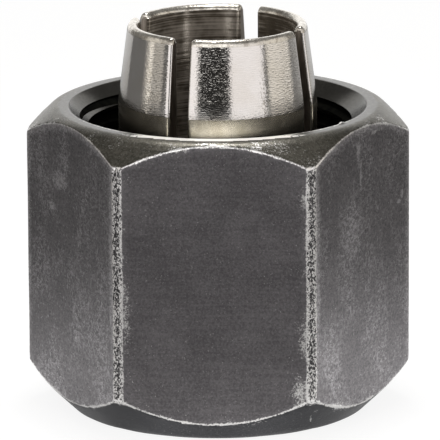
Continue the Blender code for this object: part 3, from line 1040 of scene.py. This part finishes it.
def floor_material():
    """White paper that keeps the object's shadow; to mirrored rays it glows with painted light close
    to the object and is painted darker elsewhere.
    """
    material = empty_material("paper_with_painted_glow")
    tree = material.node_tree
    seen = put(tree, "LightPath", {}, output="Is Camera Ray")
    mirrored = put(tree, "LightPath", {}, output="Is Glossy Ray")
    place = millimetres(tree)
    from_axis = put(tree, "VectorMath", {0: place}, output="Value", operation="LENGTH")
    behind = put(tree, "SeparateXYZ", {0: place}, output="Y")
    # Painted light: a glow that mirrored rays see close to the object, stronger behind and to the
    # right, and faint far behind.
    painted_glow = rise(tree, from_axis, 27.0, 54.0, 1.0, 0.0)
    beside = put(tree, "SeparateXYZ", {0: place}, output="X")
    painted_glow = maths(tree, "MULTIPLY", painted_glow, rise(tree, behind, -40.0, -5.0, 0.1, 1.0))
    painted_glow = maths(tree, "MULTIPLY", painted_glow, rise(tree, beside, -60.0, 60.0, 0.62, 1.33))
    painted_glow = maths(tree, "MAXIMUM", painted_glow, rise(tree, behind, 112.0, 150.0, 0.0, 0.45))
    azimuth = maths(tree, "ARCTAN2", beside, maths(tree, "MULTIPLY", behind, -1.0))
    sector = maths(tree, "ABSOLUTE", azimuth)
    # Painted shade in that glow near the nut's base, at its sides and back.
    under = rise(tree, from_axis, 14.0, 19.0, 0.5, 0.0)
    under = maths(tree, "MULTIPLY", under, rise(tree, sector, 0.25, 0.7))
    painted_glow = maths(tree, "MULTIPLY", painted_glow, maths(tree, "SUBTRACT", 1.0, under))
    # Two slanting sectors in front glow too, as painted light.
    painted_glow_ahead = rise(tree, sector, 0.14, 0.22)
    painted_glow_ahead = maths(tree, "MULTIPLY", painted_glow_ahead, rise(tree, sector, 1.05, 1.2, 0.8, 0.0))
    painted_glow_ahead = maths(tree, "MULTIPLY", painted_glow_ahead, rise(tree, from_axis, 85.0, 110.0))
    painted_glow_ahead = maths(tree, "MULTIPLY", painted_glow_ahead, rise(tree, from_axis, 220.0, 260.0, 1.0, 0.0))
    painted_glow = maths(tree, "MAXIMUM", painted_glow, painted_glow_ahead)
    # Mirrored rays see the paper painted a darker grey, and a stronger glow.
    colour = blend_colour(tree, mirrored, (0.8,) * 3, (0.3,) * 3)
    paper = put(tree, "BsdfDiffuse", {"Color": colour})
    strength = blend_number(tree, mirrored, 1.15, 1.6)
    white = put(tree, "Emission", {"Color": (1.0, 1.0, 1.0, 1.0), "Strength": strength})
    share = maths(tree, "MAXIMUM", seen, maths(tree, "MULTIPLY", mirrored, painted_glow))
    share = maths(tree, "MULTIPLY", share, rise(tree, from_axis, 9.0, 11.0))
    surface = put(tree, "MixShader", {0: maths(tree, "MULTIPLY", share, 0.75), 1: paper, 2: white})
    put(tree, "OutputMaterial", {"Surface": surface})
    return material


floor_bm = bmesh.new()
bmesh.ops.create_circle(floor_bm, cap_ends=True, segments=64, radius=FLOOR_RADIUS)
floor = add_mesh("floor", floor_bm)
floor.data.materials.append(floor_material())

# %% [markdown]
# A polished round part shows whatever stands round it, so the lamps are placed by what the metal
# should mirror. Two near soft boxes, a little pink, stand to the left and the right of the camera,
# and two walls of light and a narrow stripe beside the object. A backdrop, a high soft box in front
# and one small lamp overhead, for the bright rim, complete the light. A low black card in front
# gives the dark band on the nearest finger, and a small grey card stands at the left. The camera
# sees none of them.

# %% Lamps and cards
def panel(name, azimuth, elevation, distance, width, height, radiance, colour=(1.0, 1.0, 1.0)):
    """Soft box that faces the object and shows an even brightness."""
    lamp = add(name, bpy.data.lights.new(name, "AREA"))
    lamp.data.shape = "RECTANGLE"
    lamp.data.size = width
    lamp.data.size_y = height
    lamp.data.color = colour
    lamp.data.energy = radiance * math.pi * width * height
    towards = direction(math.radians(azimuth), math.radians(elevation))
    lamp.location = AIM + towards * distance
    lamp.rotation_euler = (-towards).to_track_quat("-Z", "Y").to_euler()
    lamp.visible_camera = False


def card(name, azimuth, distance, width, height, shade):
    """Upright card that stands on the floor and faces the object, unseen by the camera."""
    bm = bmesh.new()
    bmesh.ops.create_grid(bm, x_segments=1, y_segments=1, size=0.5)
    bmesh.ops.scale(bm, vec=(width, height, 1.0), verts=bm.verts)
    bmesh.ops.rotate(bm, matrix=Matrix.Rotation(math.pi / 2, 3, "X"), verts=bm.verts)
    bmesh.ops.translate(bm, vec=(0.0, -distance, height / 2), verts=bm.verts)
    bmesh.ops.rotate(bm, matrix=Matrix.Rotation(math.radians(azimuth), 3, "Z"), verts=bm.verts)
    material = empty_material(name)
    tree = material.node_tree
    paper = put(tree, "BsdfDiffuse", {"Color": (shade, shade, shade, 1.0)})
    put(tree, "OutputMaterial", {"Surface": paper})
    made = add_mesh(name, bm)
    made.data.materials.append(material)
    made.visible_camera = False


panel("right_softbox", 37.3, 16, 0.17, 0.135, 0.12, 1.04, (1.0, 0.972, 0.99))
panel("left_softbox", -41, 16, 0.17, 0.116, 0.12, 1.14, (1.0, 0.972, 0.99))
panel("right_wall", 82.5, 14, 0.36, 0.24, 0.30, 0.9, (1.0, 0.95, 0.87))
panel("left_wall", -86, 14, 0.36, 0.24, 0.30, 0.5, (1.0, 0.95, 0.87))
panel("left_stripe", -88, 14, 0.34, 0.045, 0.30, 0.72, (1.0, 0.96, 0.88))
panel("backdrop", 180, 16, 0.40, 0.60, 0.26, 1.3)
panel("front_softbox", -3.6, 26, 0.36, 0.26, 0.22, 1.8)
panel("top_light", 180, 86, 0.11, 0.034, 0.034, 24.0)
card("dark_card", -1.7, 0.30, 0.20, 0.078, 0.06)
card("left_card", -112.5, 0.12, 0.074, 0.038, 0.23)

world = bpy.data.worlds.new("studio")
bpy.context.scene.world = world
world.use_nodes = True
world.node_tree.nodes["Background"].inputs["Color"].default_value = (0.25, 0.245, 0.235, 1.0)

# %% The look of the picture
bpy.context.scene.view_settings.view_transform = "Standard"
